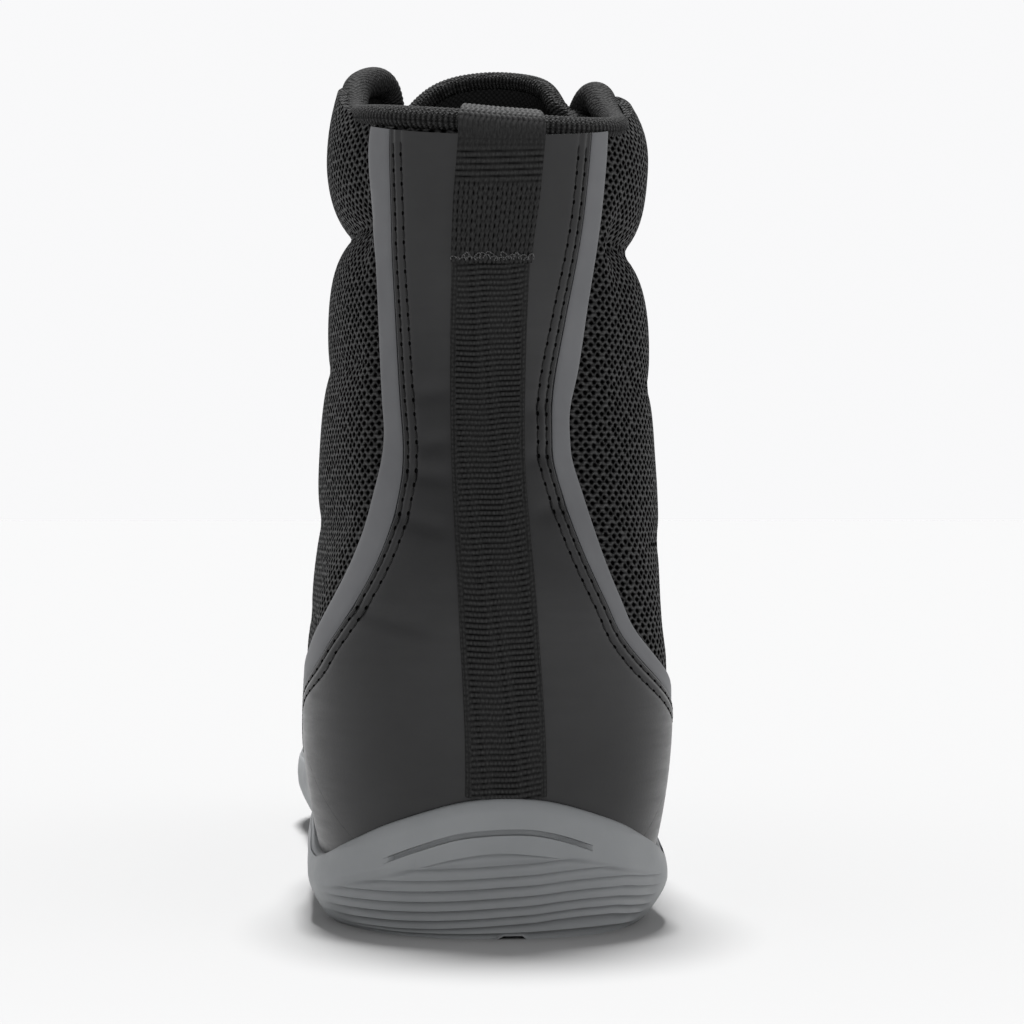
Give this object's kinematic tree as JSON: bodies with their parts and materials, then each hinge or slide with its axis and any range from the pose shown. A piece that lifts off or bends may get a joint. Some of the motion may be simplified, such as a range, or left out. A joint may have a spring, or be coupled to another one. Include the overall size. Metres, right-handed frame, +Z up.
{
  "type": "boxing shoe",
  "caption": "High-top right boxing shoe with a rubber cup sole, padded mesh shaft, leather heel panel, webbing pull loop, tongue and lace.",
  "frame": {"origin": "middle of the shoe's bounding box in plan, on the ground under the sole", "axes": "+Y from heel to toe, +X to the lateral side, +Z up"},
  "size_m": [0.095, 0.2886, 0.1901],
  "materials": {
    "sole_rubber": "satin grey",
    "sock_foam": "black knit over foam",
    "spacer_mesh": "black spacer mesh",
    "panel_leather": "semi-matte black synthetic",
    "trim_film": "flat mid-grey film",
    "webbing": "black ribbed webbing",
    "knit_binding": "black rib knit",
    "tongue_mesh": "black mesh over foam",
    "lace_cord": "black round cord"
  },
  "bodies": {
    "root": {"outsole": "sole_rubber", "insole": "sock_foam", "upper": "spacer_mesh", "heel_panel": "panel_leather", "trim_lateral": "trim_film", "trim_medial": "trim_film", "heel_webbing": "webbing", "pull_loop": "webbing", "collar_binding": "knit_binding", "tongue": "tongue_mesh", "tongue_binding": "knit_binding", "eyestay": "panel_leather", "lace": "lace_cord"}
  },
  "joints": []
}
